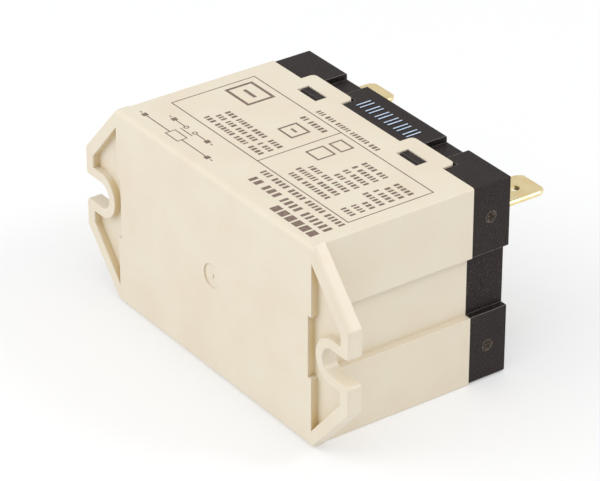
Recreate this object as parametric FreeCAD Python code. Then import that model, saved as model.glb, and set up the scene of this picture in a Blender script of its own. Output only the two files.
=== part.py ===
"""Flange-mounted power relay with push-on tab terminals, one solid per real piece.

Frame, in millimetres: X runs along the length of the case, +Y from the mounting face to the
terminals, +Z out of the marked side of the case. The origin is the centre of the mounting face,
midway between the two fixing slots. The relay is drawn at rest: coil off and contacts open.
"""
import FreeCAD, Part
import math
import os

V = FreeCAD.Vector
X_AXIS = V(1, 0, 0)
Y_AXIS = V(0, 1, 0)
Z_AXIS = V(0, 0, 1)

# Case: a five-sided moulded box, open towards the terminals
case_half_length = 25.2
case_half_height = 16.75
case_rim_y = 28.85
wall = 1.2
front_wall = 1.5
front_edge_radius = 1.0
long_edge_radius = 0.4
broken_edge = 0.15

# Recessed band down the middle of both end walls
band_depth = 1.2
band_half_height = 5.1

# Ears with open fixing slots
ear_half_length = 34.1
ear_tip_half_height = 6.85
ear_back_y = 2.45
ear_draft = 0.1
ear_draft_y = 0.7
ear_corner = 0.4
slot_half_pitch = 30.0
slot_radius = 2.2
slot_lip_radius = 0.5
slot_rim = 1.6
pocket_depth = 1.15
pocket_tip_x = 32.1
pocket_tip_z = 5.8
pocket_root_z = 13.8
pocket_band_x = 24.4

# Shallow dimple round the injection gate in the mounting face, with the gate's stub in it
gate_x = 0.1
gate_z = 0.0
gate_radius = 2.0
gate_depth = 0.2
gate_stub_radius = 0.3
gate_stub_height = 0.15

# Snap tabs of the case and the latches of the base that they hook over
tab_x = 12.5
tab_width = 10.2
tab_reach = 2.45
tab_corner = 1.0
window_width = 4.85
window_low_y = 26.1
window_high_y = 28.3
latch_width = 4.6
latch_low_y = 26.2
latch_high_y = 28.2
latch_height = 1.15
latch_nose_height = 0.45
latch_crest_y = 27.0
tab_seat_gap = 0.15
channel_width = 5.4
window_overcut = 1.0

# Base moulding
base_half_length = 25.05
base_half_height = 16.5
base_back_y = 35.75
floor_y = 32.2
spigot_y = 25.2
spigot_gap = 0.1
spigot_wall = 1.3
base_edge_radius = 0.25
relief_depth = 0.8
relief_half_length = 23.4
relief_low_z = 2.6
relief_high_z = 14.4
relief_corner = 1.5
dimple_radius = 0.9
dimple_depth = 0.4
dimple_y = 32.2
dimple_z = 10.9
groove_depth = 0.6

# Push-on tab terminals, 6.35 x 0.8 mm strip
strip_width = 6.35
strip_thickness = 0.8
terminal_tip_y = 45.6
terminal_taper_x = 0.8
terminal_taper_y = 1.1
terminal_tip_radius = 0.8
terminal_tip_chamfer = 0.2
terminal_hole_radius = 0.85
terminal_hole_from_tip = 3.8
strip_slot_gap = 0.05
strip_row_z = 9.2
coil_terminal_x = 18.4
contact_terminal_x = 8.5
shoulder_width = 7.1
shoulder_height = 1.0
lug_width = 4.6
lug_top_y = 26.4
lug_hole_x = 17.6
lug_hole_y = 28.0
strip_bend_radius = 1.2
strip_corner = 1.0

# Contact gear, on a line parallel to X
contact_z = -12.5
contact_gap = 1.8
closed_clearance = 0.02
contact_head_radius = 2.3
contact_head_height = 1.2
contact_dome = 0.3
rivet_shank_radius = 1.1
rivet_tail_radius = 1.6
rivet_tail_height = 0.4
bridge_half_length = 11.0
bridge_width = 4.8
bridge_thickness = 0.9
bridge_low_y = 15.9
bridge_hole_radius = 2.1
bridge_corner = 1.6

# Magnet system
core_z = 2.4
core_radius = 3.7
core_stub_radius = 2.5
pole_radius = 5.5
pole_thickness = 1.5
pole_y = 7.05
yoke_top_y = 7.0
yoke_thickness = 2.0
yoke_leg_low_z = 10.9
yoke_half_width = 8.0
yoke_foot_half_width = 12.4
yoke_foot_low_z = -5.8
yoke_foot_high_z = 7.0
yoke_bend_radius = 2.0
yoke_lug_height = 1.1
yoke_lug_width = 2.3
stake_x = 10.4
stake_radius = 1.2
stake_head_radius = 1.85
stake_head_height = 0.9
stake_gap = 0.05

# Armature, hinged on the outer top edge of the yoke
armature_thickness = 1.8
armature_under_y = 6.97
armature_half_width = 8.0
armature_tongue_half_width = 4.0
armature_shoulder_z = -4.4
armature_free_z = -15.0
armature_notch_low_z = 10.5
hinge_z = 12.7
armature_angle = 5.7

# Plunger that carries the moving contact bridge
nose_radius = 6.0
nose_clearance = 0.05
head_half_length = 4.5
head_half_width = 2.5
head_height = 3.0
head_corner = 1.0
stem_radius = 2.0
stem_end_y = 29.0
stem_end_chamfer = 0.4
guide_radius = 2.06
guide_top_y = 26.3
guide_outer_radius = 3.6
spring_notch_half = 3.2
clip_groove_radius = 1.65
clip_thickness = 0.6
clip_outer_radius = 2.85
clip_mouth = 2.4

# Springs
contact_spring_wire = 0.3
return_spring_wire = 0.3
spring_mean_radius = 2.5
contact_spring_turns = 6.0
return_spring_turns = 7.0
spring_end_gap = 0.02

# Hinge leaf spring and its rivets
leaf_thickness = 0.3
leaf_half_width = 3.5
leaf_low_y = 24.0
leaf_top_y = 4.6
leaf_hook_z = 11.2
leaf_rivet_radius = 0.9
leaf_rivet_head_radius = 1.5
leaf_rivet_head_height = 0.6
leaf_rivet_ys = (17.0, 21.5)

# Coil
bobbin_half_width = 8.2
bobbin_corner = 2.0
bobbin_bore_gap = 0.05
bobbin_hub_radius = 4.45
bobbin_top_y = 8.6
bobbin_top_flange = 1.0
bobbin_bottom_y = 30.1
bobbin_bottom_flange = 1.6
winding_radius = 7.7
tape_thickness = 0.2
tape_margin = 3.0
pin_radius = 0.4
pin_y = 29.2
pin_zs = (-2.4, 7.2)
pin_depth = 1.6

# Insulating barrier between coil and contacts
barrier_half_length = 13.4
barrier_thickness = 0.8
barrier_high_z = -7.2
barrier_low_z = -14.0
barrier_top_y = 8.5

# Rectifier board and diodes
board_low_x = -15.0
board_thickness = 1.2
board_top_y = 13.6
board_low_z = -6.0
board_high_z = 8.0
board_rib = 0.9
board_rib_height = 1.8
board_rib_length = 4.0
diode_radius = 1.35
diode_length = 5.2
diode_z = 0.8
diode_stand_off = 0.1
diode_ys = (15.6, 18.8, 22.0, 25.2)
diode_lead_radius = 0.35
diode_lead_reach = 1.7
lead_bend = 0.8
solder_tail = 0.5

# Connecting wires
left_lead_radius = 0.4
right_lead_radius = 0.5
lead_overhang = 0.9
right_lead_z = 13.52
right_lead_turn_x = -11.6
right_lead_board_z = 5.4
left_lead_board_z = 6.6

# Worked-out values
strip_half_width = strip_width / 2
strip_half = strip_thickness / 2
yoke_leg_high_z = yoke_leg_low_z + yoke_thickness
yoke_foot_y = floor_y - yoke_thickness
board_high_x = board_low_x + board_thickness
tilt = math.radians(armature_angle)
lever = hinge_z - contact_z
nose_reach = nose_radius + nose_clearance
plunger_travel = nose_reach - (nose_reach - lever * math.sin(tilt)) / math.cos(tilt)
nose_y = armature_under_y + nose_clearance - plunger_travel
head_under_y = nose_y + head_height
bridge_high_y = bridge_low_y + bridge_thickness
clip_y = bridge_high_y + closed_clearance
fixed_face_y = bridge_high_y + contact_head_height + contact_gap + closed_clearance
shelf_y = fixed_face_y + contact_head_height


def box(x0, x1, y0, y1, z0, z1):
    """Block between two corners."""
    return Part.makeBox(x1 - x0, y1 - y0, z1 - z0, V(x0, y0, z0))


def rod(centre, axis, radius, length):
    """Round bar that starts at a point and runs along an axis."""
    return Part.makeCylinder(radius, length, centre, axis)


def rod_y(x, z, radius, y0, y1):
    """Round bar along Y."""
    return rod(V(x, y0, z), Y_AXIS, radius, y1 - y0)


def face_xz(points, y):
    """Flat polygon at one height of Y, from (x, z) corners."""
    corners = [V(x, y, z) for x, z in points]
    return Part.makePolygon(corners + corners[:1])


def prism_y(points, y0, y1):
    """Polygon of (x, z) corners, drawn out along Y."""
    return Part.Face(face_xz(points, y0)).extrude(V(0, y1 - y0, 0))


def prism_x(points, x0, x1):
    """Polygon of (y, z) corners, drawn out along X."""
    corners = [V(x0, y, z) for y, z in points]
    return Part.Face(Part.makePolygon(corners + corners[:1])).extrude(V(x1 - x0, 0, 0))


def mirror_x(shape):
    """The same shape on the other side of the X = 0 plane."""
    return shape.mirror(V(0, 0, 0), X_AXIS)


def mirror_z(shape):
    """The same shape on the other side of the Z = 0 plane."""
    return shape.mirror(V(0, 0, 0), Z_AXIS)


def on_both_ends(shape):
    """A shape and its mirror image at the other end of the relay."""
    return [shape, mirror_x(shape)]


def on_four_sides(shape):
    """A shape with its mirror images in X and Z."""
    return on_both_ends(shape) + on_both_ends(mirror_z(shape))


def round_edges(shape, radius, wanted):
    """Fillet every open edge for which wanted(start, end) is true."""
    edges = []
    for edge in shape.Edges:
        if len(edge.Vertexes) == 2 and wanted(*[corner.Point for corner in edge.Vertexes]):
            edges.append(edge)
    return shape.makeFillet(radius, edges)


def near(a, b):
    """Whether two lengths are the same to a hundredth of a millimetre."""
    return abs(a - b) < 0.01


def upright(a, b):
    """Whether an edge between two points runs along Y."""
    return near(a.x, b.x) and near(a.z, b.z)


def level(a, b, y):
    """Whether an edge between two points lies at one height of Y."""
    return near(a.y, y) and near(b.y, y)


def banded_outline(half_length, half_height, depth, band):
    """Corners of a rectangle whose two ends step inwards in the middle."""
    right = [
        (half_length, half_height),
        (half_length, band),
        (half_length - depth, band),
        (half_length - depth, -band),
        (half_length, -band),
        (half_length, -half_height),
    ]
    left = [(-x, z) for x, z in reversed(right)]
    return right + left


def banded_block(inset, y0, y1, half_length=case_half_length, half_height=case_half_height):
    """Block with recessed end bands, at a distance inside the given outside size."""
    outline = banded_outline(half_length - inset, half_height - inset, band_depth, band_half_height + inset)
    return prism_y(outline, y0, y1)


def rounded_plate(half_x, half_z, centre_z, corner, y0, y1):
    """Rectangular plate with rounded corners, flat in Y."""
    plate = box(-half_x, half_x, y0, y1, centre_z - half_z, centre_z + half_z)
    return round_edges(plate, corner, upright)


def pipe(points, radius, bend):
    """Round wire along straight runs joined by arcs."""
    path = Part.makePolygon(points)
    if len(points) > 2:
        path = rounded_path(points, bend)
    start = Part.Wire(Part.makeCircle(radius, points[0], points[1] - points[0]))
    return path.makePipeShell([start], True, False)


def rounded_path(points, bend):
    """Wire through the points with each inner corner replaced by an arc."""
    edges = []
    last = points[0]
    for before, corner, after in zip(points, points[1:], points[2:]):
        inward = (before - corner).normalize()
        outward = (after - corner).normalize()
        start = corner + inward * bend
        end = corner + outward * bend
        centre = corner + (inward + outward) * bend
        middle = centre + (corner - centre).normalize() * bend
        edges.append(Part.makeLine(last, start))
        edges.append(Part.Arc(start, middle, end).toShape())
        last = end
    edges.append(Part.makeLine(last, points[-1]))
    return Part.Wire(edges)


# ---------------------------------------------------------------- case

def ear_outline(inset):
    """Right-hand ear, its outer edges moved inwards by a small draft."""
    run = ear_half_length - case_half_length
    drop = case_half_height - ear_tip_half_height
    slant = math.hypot(run, drop)
    root_z = case_half_height - inset * slant / run
    tip_x = ear_half_length - inset
    tip_z = root_z - (tip_x - case_half_length) * drop / run
    inner_x = case_half_length - band_depth
    upper = [
        (inner_x, band_half_height),
        (case_half_length, band_half_height),
        (case_half_length, root_z),
        (tip_x, tip_z),
    ]
    lower = [(x, -z) for x, z in reversed(upper)]
    return upper + lower


def ear():
    """Right-hand ear with its open slot, rimmed pocket and drafted front edge."""
    sections = [face_xz(ear_outline(ear_draft), 0), face_xz(ear_outline(0), ear_draft_y)]
    front = Part.makeLoft(sections, True, True)
    plate = front.fuse(prism_y(ear_outline(0), ear_draft_y, ear_back_y))

    def at_tip_corner(a, b):
        return not near(a.y, b.y) and min(a.x, b.x) > ear_half_length - 2 * ear_draft

    plate = round_edges(plate, ear_corner, at_tip_corner)
    pocket_outline = [
        (pocket_band_x, band_half_height),
        (case_half_length, band_half_height),
        (case_half_length, pocket_root_z),
        (pocket_tip_x, pocket_tip_z),
    ]
    pocket_outline += [(x, -z) for x, z in reversed(pocket_outline)]
    pocket = prism_y(pocket_outline, 0, pocket_depth)
    rim_radius = slot_radius + slot_rim
    pocket = pocket.cut(rod_y(slot_half_pitch, 0, rim_radius, 0, ear_back_y))
    pocket = pocket.cut(box(slot_half_pitch, ear_half_length, 0, ear_back_y, -rim_radius, rim_radius))
    slot = rod_y(slot_half_pitch, 0, slot_radius, 0, ear_back_y)
    slot = slot.fuse(box(slot_half_pitch, ear_half_length + 1, 0, ear_back_y, -slot_radius, slot_radius))
    plate = plate.cut(pocket).cut(slot).removeSplitter()

    def at_slot_lip(a, b):
        at_tip = min(a.x, b.x) > ear_half_length - 2 * ear_draft
        return at_tip and near(abs(a.z), slot_radius) and near(a.z, b.z)

    def outside(a, b):
        clear_of_case = max(a.x, b.x) > case_half_length + broken_edge
        return clear_of_case and (level(a, b, 0) or level(a, b, ear_back_y))

    return round_edges(round_edges(plate, slot_lip_radius, at_slot_lip), broken_edge, outside)


def snap_tab():
    """Tab on the rim of the right-hand end of the marked side."""
    tip_y = case_rim_y + tab_reach
    half = tab_width / 2
    root_y = case_rim_y - wall
    tab = box(tab_x - half, tab_x + half, root_y, tip_y, case_half_height - wall, case_half_height)
    tab = round_edges(tab, tab_corner, lambda a, b: level(a, b, tip_y) and near(a.x, b.x))
    return round_edges(tab, broken_edge, lambda a, b: max(a.y, b.y) > root_y + wall / 2 and near(
        a.z, case_half_height) and near(b.z, case_half_height))


def snap_window():
    """Opening in a snap tab that the latch of the base stands in."""
    half = window_width / 2
    low_z = case_half_height - wall - window_overcut
    high_z = case_half_height + window_overcut
    return box(tab_x - half, tab_x + half, window_low_y, window_high_y, low_z, high_z)


def gate_dimple():
    """Shallow round dimple whose middle keeps the short stub of the injection gate."""
    stub = rod_y(gate_x, gate_z, gate_stub_radius, gate_depth - gate_stub_height, gate_depth)
    return rod_y(gate_x, gate_z, gate_radius, 0, gate_depth).cut(stub)


def rounded_front():
    """Block as long as the ears whose two long front edges are rounded."""
    block = box(-ear_half_length, ear_half_length, 0, ear_back_y, -case_half_height, case_half_height)
    return round_edges(block, front_edge_radius, lambda a, b: level(a, b, 0) and near(a.z, b.z))


def case():
    def at_corner(a, b):
        return near(abs(a.z), case_half_height) and upright(a, b)

    body = round_edges(banded_block(0, ear_back_y, case_rim_y), long_edge_radius, at_corner)
    body = round_edges(body, broken_edge, lambda a, b: level(a, b, case_rim_y))
    front = banded_block(0, 0, ear_back_y).fuse(on_both_ends(ear())).common(rounded_front())
    body = body.fuse([front] + on_four_sides(snap_tab())).removeSplitter()
    body = body.cut(banded_block(wall, front_wall, case_rim_y))
    return body.cut(on_four_sides(snap_window()) + [gate_dimple()]).removeSplitter()


# ---------------------------------------------------------------- base

def latch():
    """Wedge that a snap tab rides up and hooks behind."""
    root = case_half_height - wall - spigot_gap
    points = [
        (latch_low_y, root - spigot_wall / 2),
        (latch_low_y, root + latch_nose_height),
        (latch_crest_y, root + latch_height),
        (latch_high_y, root + latch_height),
        (latch_high_y, root - spigot_wall / 2),
    ]
    return prism_x(points, tab_x - latch_width / 2, tab_x + latch_width / 2)


def tab_seat():
    """Recess round a snap tab, with the narrower channel that runs on to the back."""
    root = case_half_height - wall - spigot_gap
    half = tab_width / 2 + tab_seat_gap
    end = case_rim_y + tab_reach + tab_seat_gap
    seat = box(tab_x - half, tab_x + half, case_rim_y, end, root, case_half_height)
    half = channel_width / 2
    return seat.fuse(box(tab_x - half, tab_x + half, case_rim_y, base_back_y, root, case_half_height))


def back_relief():
    """Shallow recess in the back face, round one row of terminals."""
    centre = (relief_low_z + relief_high_z) / 2
    half = (relief_high_z - relief_low_z) / 2
    floor = base_back_y - relief_depth
    return rounded_plate(relief_half_length, half, centre, relief_corner, floor, base_back_y)


def terminal_boss(x, z):
    """Raised collar round a terminal, level with the back face."""
    half_x = strip_half_width + wall
    half_z = strip_half + wall
    return box(x - half_x, x + half_x, base_back_y - relief_depth, base_back_y, z - half_z, z + half_z)


def terminal_slot(x, z):
    """Slot that a terminal strip is pressed through."""
    half_x = strip_half_width + strip_slot_gap
    half_z = strip_half + strip_slot_gap
    return box(x - half_x, x + half_x, floor_y, base_back_y, z - half_z, z + half_z)


def terminal_places():
    """Centre (x, z) of each of the four terminals."""
    coil = [(side * coil_terminal_x, strip_row_z) for side in (-1, 1)]
    contact = [(side * contact_terminal_x, -strip_row_z) for side in (-1, 1)]
    return coil + contact


def stake(side):
    """Moulded stake whose head is melted over the foot of the yoke."""
    x = side * stake_x
    head_y = yoke_foot_y - stake_head_height
    head = rod_y(x, core_z, stake_head_radius, head_y, yoke_foot_y)
    head = head.makeChamfer(stake_head_height / 2, [e for e in head.Edges if near(e.BoundBox.YMax, head_y)])
    return head.fuse(rod_y(x, core_z, stake_radius, yoke_foot_y, floor_y))


def board_ribs():
    """Two low ribs that hold the foot of the rectifier board."""
    ribs = []
    for x in (board_low_x - board_rib, board_high_x):
        high_z = board_low_z + board_rib_length
        ribs.append(box(x, x + board_rib, floor_y - board_rib_height, floor_y, board_low_z, high_z))
    return ribs


def base():
    block = banded_block(0, case_rim_y, base_back_y, base_half_length, base_half_height)
    block = round_edges(block, base_edge_radius, lambda a, b: level(a, b, base_back_y) or (
        upright(a, b) and near(abs(a.z), base_half_height)))
    block = block.fuse(banded_block(wall + spigot_gap, spigot_y, case_rim_y))
    block = block.cut(banded_block(wall + spigot_gap + spigot_wall, spigot_y, floor_y))
    block = block.cut([back_relief(), mirror_z(back_relief())] + on_four_sides(tab_seat()))
    guide = rod_y(0, contact_z, guide_outer_radius, guide_top_y, floor_y)
    room = box(-guide_outer_radius, guide_outer_radius, guide_top_y, floor_y, wall - base_half_height, 0)
    guide = guide.common(room)
    additions = on_four_sides(latch()) + [guide, stake(-1), stake(1)] + board_ribs()
    additions += [terminal_boss(x, z) for x, z in terminal_places()]
    block = block.fuse(additions)
    cuts = [terminal_slot(x, z) for x, z in terminal_places()]
    cuts.append(rod_y(0, contact_z, guide_radius, guide_top_y, floor_y))
    half = spring_notch_half
    cuts.append(box(-half, half, spigot_y, guide_top_y, -case_half_height, contact_z))
    cuts.append(barrier_outline(floor_y, floor_y + groove_depth))
    cuts.append(box(board_low_x, board_high_x, floor_y, floor_y + groove_depth, board_low_z, board_high_z))
    dimple = rod(V(base_half_length - dimple_depth, dimple_y, dimple_z), X_AXIS, dimple_radius, dimple_depth)
    cuts += on_four_sides(dimple)
    return block.cut(cuts).removeSplitter()


# ---------------------------------------------------------------- terminals

def tab_blank(x, z, top_y):
    """Flat strip in the X-Y plane with a tapered tip and its detent hole."""
    tip_half = strip_half_width - terminal_taper_x
    taper_y = terminal_tip_y - terminal_taper_y
    corners = [
        (x - strip_half_width, top_y),
        (x + strip_half_width, top_y),
        (x + strip_half_width, taper_y),
        (x + tip_half, terminal_tip_y),
        (x - tip_half, terminal_tip_y),
        (x - strip_half_width, taper_y),
    ]
    points = [V(px, py, z - strip_half) for px, py in corners]
    blank = Part.Face(Part.makePolygon(points + points[:1])).extrude(V(0, 0, strip_thickness))

    def at_tip(a, b):
        return near(a.x, b.x) and near(a.y, b.y) and a.y > top_y

    blank = round_edges(blank, terminal_tip_radius, at_tip)
    long_edges = [e for e in blank.Edges if e.Length > strip_half_width]
    tip_edges = [e for e in long_edges if near(e.BoundBox.YMin, terminal_tip_y)]
    blank = blank.makeChamfer(terminal_tip_chamfer, tip_edges)
    hole_y = terminal_tip_y - terminal_hole_from_tip
    return blank.cut(rod(V(x, hole_y, z - strip_half), Z_AXIS, terminal_hole_radius, strip_thickness))


def shoulders(x, z):
    """Wider stretch that stops the strip at the floor of the base."""
    half = shoulder_width / 2
    return box(x - half, x + half, floor_y - shoulder_height, floor_y, z - strip_half, z + strip_half)


def coil_terminal(side):
    x = side * coil_terminal_x
    blank = tab_blank(x, strip_row_z, floor_y).fuse(shoulders(x, strip_row_z))
    half = lug_width / 2
    lug = box(x - half, x + half, lug_top_y, floor_y, strip_row_z - strip_half, strip_row_z + strip_half)
    lug = round_edges(lug, strip_corner, lambda a, b: near(a.x, b.x) and level(a, b, lug_top_y))
    radius = left_lead_radius if side < 0 else right_lead_radius
    hole = rod(V(side * lug_hole_x, lug_hole_y, strip_row_z - strip_half), Z_AXIS, radius, strip_thickness)
    return blank.fuse(lug).cut(hole).removeSplitter()


def contact_terminal(side):
    """Strip that turns through a right angle to make a shelf under its fixed contact."""
    x = side * contact_terminal_x
    z = -strip_row_z
    leg = tab_blank(x, z, shelf_y + strip_bend_radius).fuse(shoulders(x, z))
    corner_y = shelf_y + strip_bend_radius
    corner_z = z + strip_half - strip_bend_radius
    bend = rod(V(x - strip_half_width, corner_y, corner_z), X_AXIS, strip_bend_radius, strip_width)
    inner = strip_bend_radius - strip_thickness
    bend = bend.cut(rod(V(x - strip_half_width, corner_y, corner_z), X_AXIS, inner, strip_width))
    half = strip_half_width
    bend = bend.common(box(x - half, x + half, shelf_y, corner_y, corner_z, z + strip_half))
    end_z = contact_z - contact_head_radius
    shelf = box(x - half, x + half, shelf_y, shelf_y + strip_thickness, end_z, corner_z)
    shelf = round_edges(shelf, strip_corner, lambda a, b: upright(a, b) and near(a.z, end_z))
    hole = rod_y(x, contact_z, rivet_shank_radius, shelf_y, shelf_y + strip_thickness)
    return leg.fuse([bend, shelf]).cut(hole).removeSplitter()


# ---------------------------------------------------------------- contacts

def contact_rivet(x, face_y, direction, grip):
    """Contact rivet with a domed face; its shank crosses a plate and ends in a set tail."""
    head = contact_head_height * direction
    edge_y = face_y + contact_dome * direction
    seat_y = face_y + head
    plate_y = seat_y + grip * direction
    tail_y = plate_y + rivet_tail_height * direction
    rim = V(contact_head_radius, edge_y, 0)
    middle = V(contact_head_radius / 2, face_y + contact_dome * direction / 4, 0)
    dome = Part.Arc(V(0, face_y, 0), middle, rim).toShape()
    corners = [
        rim,
        V(contact_head_radius, seat_y, 0),
        V(rivet_shank_radius, seat_y, 0),
        V(rivet_shank_radius, plate_y, 0),
        V(rivet_tail_radius, plate_y, 0),
        V(rivet_shank_radius, tail_y, 0),
        V(0, tail_y, 0),
        V(0, face_y, 0),
    ]
    outline = Part.Wire([dome] + [Part.makeLine(a, b) for a, b in zip(corners, corners[1:])])
    rivet = Part.Face(outline).revolve(V(0, 0, 0), Y_AXIS, 360)
    rivet.translate(V(x, 0, contact_z))
    return rivet


def contact_pair(face_y, direction, grip):
    """The same rivet at both ends of the bridge."""
    ends = (-contact_terminal_x, contact_terminal_x)
    return Part.makeCompound([contact_rivet(x, face_y, direction, grip) for x in ends])


def fixed_contacts():
    return contact_pair(fixed_face_y, 1, strip_thickness)


def movable_contacts():
    return contact_pair(bridge_high_y + contact_head_height, -1, bridge_thickness)


def contact_bridge():
    half = bridge_width / 2
    strip = rounded_plate(bridge_half_length, half, contact_z, bridge_corner, bridge_low_y, bridge_high_y)
    holes = [rod_y(0, contact_z, bridge_hole_radius, bridge_low_y, bridge_high_y)]
    for side in (-1, 1):
        x = side * contact_terminal_x
        holes.append(rod_y(x, contact_z, rivet_shank_radius, bridge_low_y, bridge_high_y))
    return strip.cut(holes)


def plunger():
    nose_centre_y = nose_y + nose_radius
    nose = rod(V(-head_half_length, nose_centre_y, contact_z), X_AXIS, nose_radius, 2 * head_half_length)
    block = box(-head_half_length, head_half_length, nose_y, head_under_y,
                contact_z - head_half_width, contact_z + head_half_width)
    block = round_edges(block, head_corner, upright)
    stem = rod_y(0, contact_z, stem_radius, head_under_y, stem_end_y)
    stem = stem.makeChamfer(stem_end_chamfer, [e for e in stem.Edges if near(e.BoundBox.YMin, stem_end_y)])
    groove = rod_y(0, contact_z, stem_radius, clip_y, clip_y + clip_thickness)
    groove = groove.cut(rod_y(0, contact_z, clip_groove_radius, clip_y, clip_y + clip_thickness))
    return block.common(nose).fuse(stem).cut(groove).removeSplitter()


def plunger_clip():
    """Open spring-steel ring in the groove of the stem, under the bridge."""
    ring = rod_y(0, contact_z, clip_outer_radius, clip_y, clip_y + clip_thickness)
    ring = ring.cut(rod_y(0, contact_z, clip_groove_radius, clip_y, clip_y + clip_thickness))
    half = clip_mouth / 2
    mouth = box(-half, half, clip_y, clip_y + clip_thickness, contact_z, contact_z + clip_outer_radius)
    return ring.cut(mouth)


def coil_spring(y0, y1, wire, turns):
    """Compression spring round the stem of the plunger."""
    start_y = y0 + spring_end_gap + wire
    height = y1 - y0 - 2 * (spring_end_gap + wire)
    helix = Part.makeHelix(height / turns, height, spring_mean_radius)
    section = Part.Wire(Part.makeCircle(wire, V(spring_mean_radius, 0, 0), Y_AXIS))
    spring = Part.Wire(helix).makePipeShell([section], True, True)
    spring.rotate(V(0, 0, 0), X_AXIS, -90)
    spring.translate(V(0, start_y, contact_z))
    return spring


def contact_spring():
    return coil_spring(head_under_y, bridge_low_y, contact_spring_wire, contact_spring_turns)


def return_spring():
    return coil_spring(clip_y + clip_thickness, guide_top_y, return_spring_wire, return_spring_turns)


# ---------------------------------------------------------------- magnet system

def core():
    """Soft-iron core with a wide pole face and a riveted stub in the foot of the yoke."""
    pole = rod_y(0, core_z, pole_radius, pole_y, pole_y + pole_thickness)
    shaft = rod_y(0, core_z, core_radius, pole_y + pole_thickness, yoke_foot_y)
    return pole.fuse([shaft, rod_y(0, core_z, core_stub_radius, yoke_foot_y, floor_y)])


def yoke():
    """L-shaped iron frame: foot under the coil, leg up to the armature hinge."""
    section = [
        (yoke_top_y, yoke_leg_low_z),
        (yoke_foot_y, yoke_leg_low_z),
        (yoke_foot_y, yoke_foot_low_z),
        (floor_y, yoke_foot_low_z),
        (floor_y, yoke_leg_high_z),
        (yoke_top_y, yoke_leg_high_z),
    ]
    frame = prism_x(section, -yoke_half_width, yoke_half_width)
    frame = round_edges(frame, yoke_bend_radius, lambda a, b: all(
        near(p.y, floor_y) and near(p.z, yoke_leg_high_z) for p in (a, b)))
    half = yoke_foot_half_width
    foot = box(-half, half, yoke_foot_y, floor_y, yoke_foot_low_z, yoke_foot_high_z)
    lug_x = yoke_half_width - yoke_lug_width
    lug_y = yoke_top_y - yoke_lug_height
    lug = box(lug_x, yoke_half_width, lug_y, yoke_top_y, yoke_leg_low_z, yoke_leg_high_z)
    frame = frame.fuse([foot] + on_both_ends(lug))
    holes = on_both_ends(rod_y(stake_x, core_z, stake_radius + stake_gap, yoke_foot_y, floor_y))
    holes.append(rod_y(0, core_z, core_stub_radius, yoke_foot_y, floor_y))
    for y in leaf_rivet_ys:
        holes.append(rod(V(0, y, yoke_leg_low_z), Z_AXIS, leaf_rivet_radius, yoke_thickness))
    return frame.cut(holes).removeSplitter()


def armature():
    """Iron plate with a narrow tongue over the plunger, drawn tilted away from the pole."""
    notch_x = yoke_half_width - yoke_lug_width - 2 * nose_clearance
    right = [
        (notch_x, hinge_z),
        (notch_x, armature_notch_low_z),
        (armature_half_width, armature_notch_low_z),
        (armature_half_width, armature_shoulder_z),
        (armature_tongue_half_width, armature_shoulder_z - armature_tongue_half_width),
        (armature_tongue_half_width, armature_free_z),
    ]
    left = [(-x, z) for x, z in reversed(right)]
    plate = prism_y(right + left, armature_under_y - armature_thickness, armature_under_y)
    plate.rotate(V(0, armature_under_y, hinge_z), X_AXIS, -armature_angle)
    return plate


def hinge_spring():
    """Leaf on the back of the yoke whose hook holds the armature down on its edge."""
    high_z = yoke_leg_high_z + leaf_thickness
    section = [
        (leaf_low_y, yoke_leg_high_z),
        (leaf_low_y, high_z),
        (leaf_top_y, high_z),
        (leaf_top_y, leaf_hook_z),
        (leaf_top_y + leaf_thickness, leaf_hook_z),
        (leaf_top_y + leaf_thickness, yoke_leg_high_z),
    ]
    leaf = prism_x(section, -leaf_half_width, leaf_half_width)

    def at_bend(a, b):
        return level(a, b, leaf_top_y) and near(a.z, high_z) and near(b.z, high_z)

    leaf = round_edges(leaf, leaf_thickness, at_bend)
    holes = [rod(V(0, y, yoke_leg_high_z), Z_AXIS, leaf_rivet_radius, leaf_thickness) for y in leaf_rivet_ys]
    return leaf.cut(holes)


def hinge_spring_rivets():
    rivets = []
    seat = yoke_leg_high_z + leaf_thickness
    for y in leaf_rivet_ys:
        head = rod(V(0, y, seat), Z_AXIS, leaf_rivet_head_radius, leaf_rivet_head_height)
        top_edges = [e for e in head.Edges if not near(e.BoundBox.ZMin, seat)]
        head = head.makeFillet(leaf_rivet_head_height / 2, top_edges)
        shank = rod(V(0, y, yoke_leg_low_z), Z_AXIS, leaf_rivet_radius, seat - yoke_leg_low_z)
        rivets.append(head.fuse(shank))
    return Part.makeCompound(rivets)


# ---------------------------------------------------------------- coil

def bobbin():
    half = bobbin_half_width
    top_flange_y = bobbin_top_y + bobbin_top_flange
    low_flange_y = bobbin_bottom_y - bobbin_bottom_flange
    top = rounded_plate(half, half, core_z, bobbin_corner, bobbin_top_y, top_flange_y)
    bottom = rounded_plate(half, half, core_z, bobbin_corner, low_flange_y, bobbin_bottom_y)
    hub = rod_y(0, core_z, bobbin_hub_radius, bobbin_top_y, bobbin_bottom_y)
    spool = top.fuse([bottom, hub])
    bore = rod_y(0, core_z, core_radius + bobbin_bore_gap, bobbin_top_y, bobbin_bottom_y)
    sockets = [rod(V(-bobbin_half_width, pin_y, z), X_AXIS, pin_radius, pin_depth) for z in pin_zs]
    return spool.cut([bore] + sockets).removeSplitter()


def winding_sleeve(inner, outer, margin):
    """Ring between the bobbin flanges."""
    y0 = bobbin_top_y + bobbin_top_flange + margin
    y1 = bobbin_bottom_y - bobbin_bottom_flange - margin
    return rod_y(0, core_z, outer, y0, y1).cut(rod_y(0, core_z, inner, y0, y1))


def coil_winding():
    return winding_sleeve(bobbin_hub_radius, winding_radius, 0)


def coil_tape():
    return winding_sleeve(winding_radius, winding_radius + tape_thickness, tape_margin)


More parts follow.
